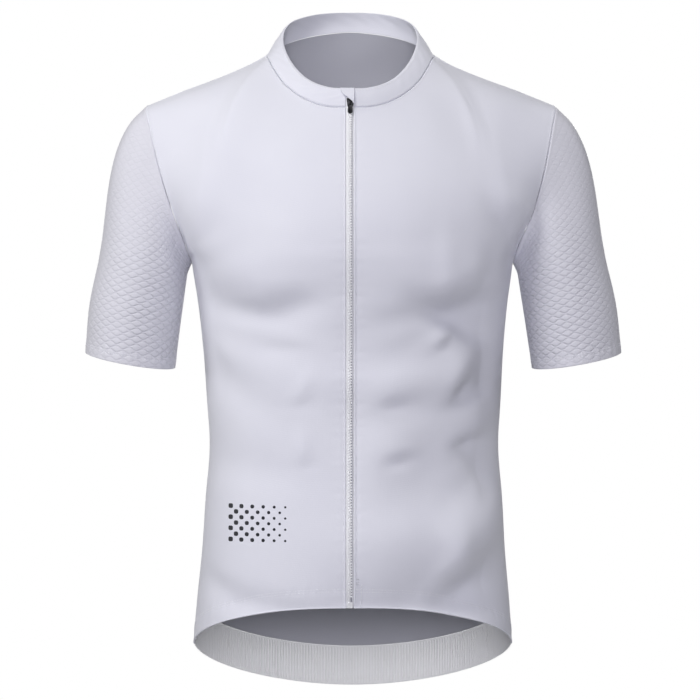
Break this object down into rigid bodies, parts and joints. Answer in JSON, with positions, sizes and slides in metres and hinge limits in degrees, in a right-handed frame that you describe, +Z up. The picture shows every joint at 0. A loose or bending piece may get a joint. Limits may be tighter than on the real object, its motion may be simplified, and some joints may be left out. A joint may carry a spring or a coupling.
{
  "type": "cycling jersey",
  "caption": "Close-fitting short-sleeved cycling jersey with a stand-up collar, a full front zip, a dropped back hem with a ribbed grip band and pockets across the lower back.",
  "frame": {"origin": "middle of the neck opening, level with the collar seam at the sides of the neck, where the wearer's neck and shoulders hold the jersey up", "axes": "+Z up, the front faces -Y, +X is the wearer's left"},
  "size_m": [0.5631, 0.2434, 0.731],
  "materials": {
    "body_knit": "smooth matt polyester knit, pale cool grey",
    "sleeve_knit": "embossed matt polyester knit, pale cool grey",
    "band_elastic": "ribbed elastic knit",
    "zip_tape": "woven polyester tape",
    "zip_teeth": "satin nylon",
    "black_metal": "satin black lacquer"
  },
  "bodies": {
    "jersey": {"back": "body_knit", "collar": "body_knit", "front_left": "body_knit", "front_right": "body_knit", "hem_gripper": "band_elastic", "rear_pockets": "body_knit", "sleeve_left": "sleeve_knit", "sleeve_right": "sleeve_knit", "zip_box": "zip_teeth", "zip_chain": "zip_teeth", "zip_garage": "body_knit", "zip_slider": "black_metal", "zip_tape_left": "zip_tape", "zip_tape_right": "zip_tape"},
    "pull": {"zip_pull": "black_metal"}
  },
  "joints": [
    {"name": "pull_hinge", "type": "hinge", "parent": "jersey", "child": "pull", "pos_m": [-0.0024, -0.07865, -0.05562], "axis": [-1, 0, 0], "range_deg": [0, 150]}
  ]
}
